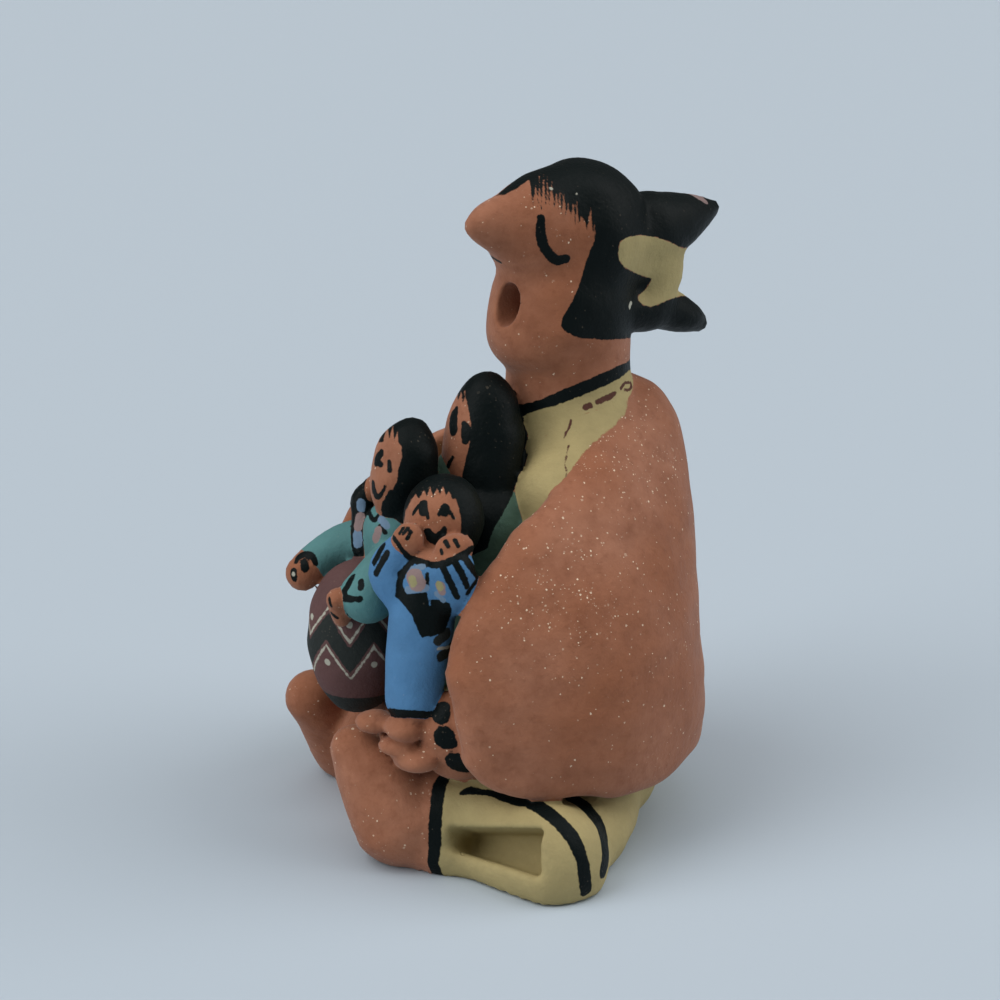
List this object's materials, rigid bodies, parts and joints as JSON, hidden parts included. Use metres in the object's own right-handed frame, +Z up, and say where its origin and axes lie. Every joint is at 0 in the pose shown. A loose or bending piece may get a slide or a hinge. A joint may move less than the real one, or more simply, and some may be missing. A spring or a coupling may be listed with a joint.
{
  "type": "pueblo storyteller figure",
  "caption": "Seated hand-built clay storyteller, head back and mouth open in song, a blanket round its shoulders and children clinging to its lap; stands on its flat underside.",
  "frame": {"origin": "middle of the figure's footprint box, on the surface it stands on", "axes": "+Z up, the figure faces -Y, its left side is at +X"},
  "size_m": [0.1108, 0.0992, 0.14],
  "materials": {
    "painted_clay": "unglazed terracotta with mica flecks, matt hand-painted details"
  },
  "bodies": {
    "root": {"storyteller_figure": "painted_clay"}
  },
  "joints": []
}
